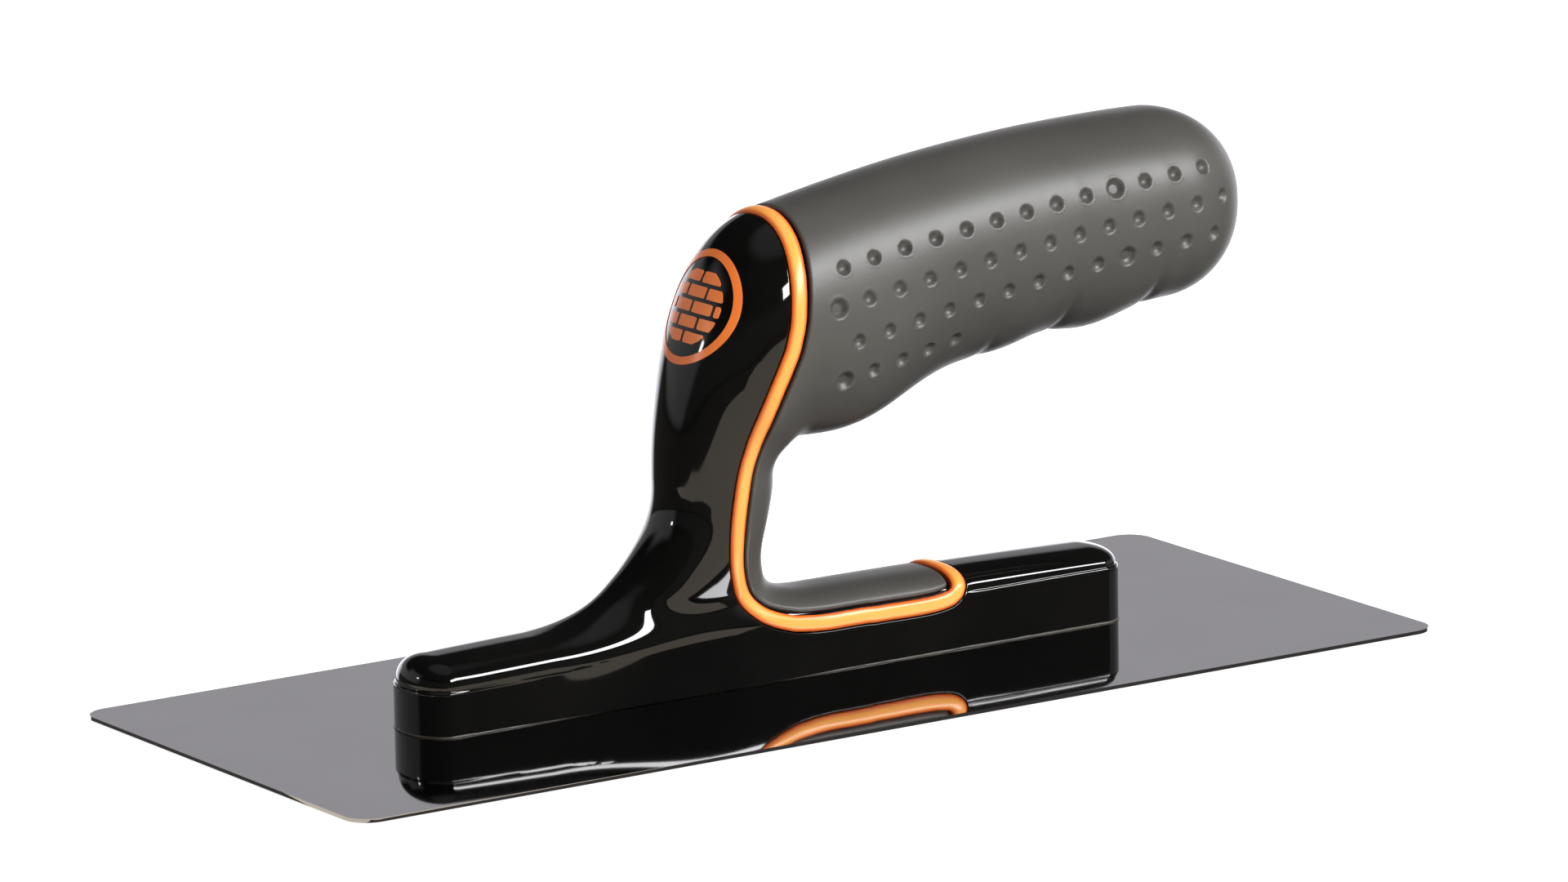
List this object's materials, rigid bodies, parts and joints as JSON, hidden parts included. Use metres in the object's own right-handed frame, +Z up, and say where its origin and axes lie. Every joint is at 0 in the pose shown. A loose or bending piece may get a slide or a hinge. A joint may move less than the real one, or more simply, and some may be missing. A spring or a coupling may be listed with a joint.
{
  "type": "finishing trowel",
  "caption": "Smooth rectangular finishing trowel: polished steel blade, glossy open handle with a dimpled soft grip, bright seam strip and a badge on the nose.",
  "frame": {"origin": "centre of the blade's underside, the face that rests on the work", "axes": "+X along the blade towards the grip's open end, +Y across the blade, +Z up out of the work"},
  "size_m": [0.24, 0.1, 0.0978],
  "materials": {
    "blade_steel": "mirror polished stainless steel",
    "stud_steel": "plain",
    "adhesive": "uneven cured adhesive",
    "bar_aluminium": "extruded, satin",
    "screw_steel": "zinc plated",
    "black_gloss": "glossy moulded",
    "plug_plastic": "moulded",
    "strip_orange": "satin moulded",
    "soft_grey": "satin soft plastic, fine grain",
    "badge_orange": "printed sign on a clear disc"
  },
  "bodies": {
    "root": {"blade": "blade_steel", "blade_studs": "stud_steel", "bond_film": "adhesive", "stiffening_bar": "bar_aluminium", "bar_screws": "screw_steel", "handle_frame": "black_gloss", "core_plug": "plug_plastic", "seam_strip": "strip_orange", "soft_grip": "soft_grey", "nose_badge": "badge_orange"}
  },
  "joints": []
}
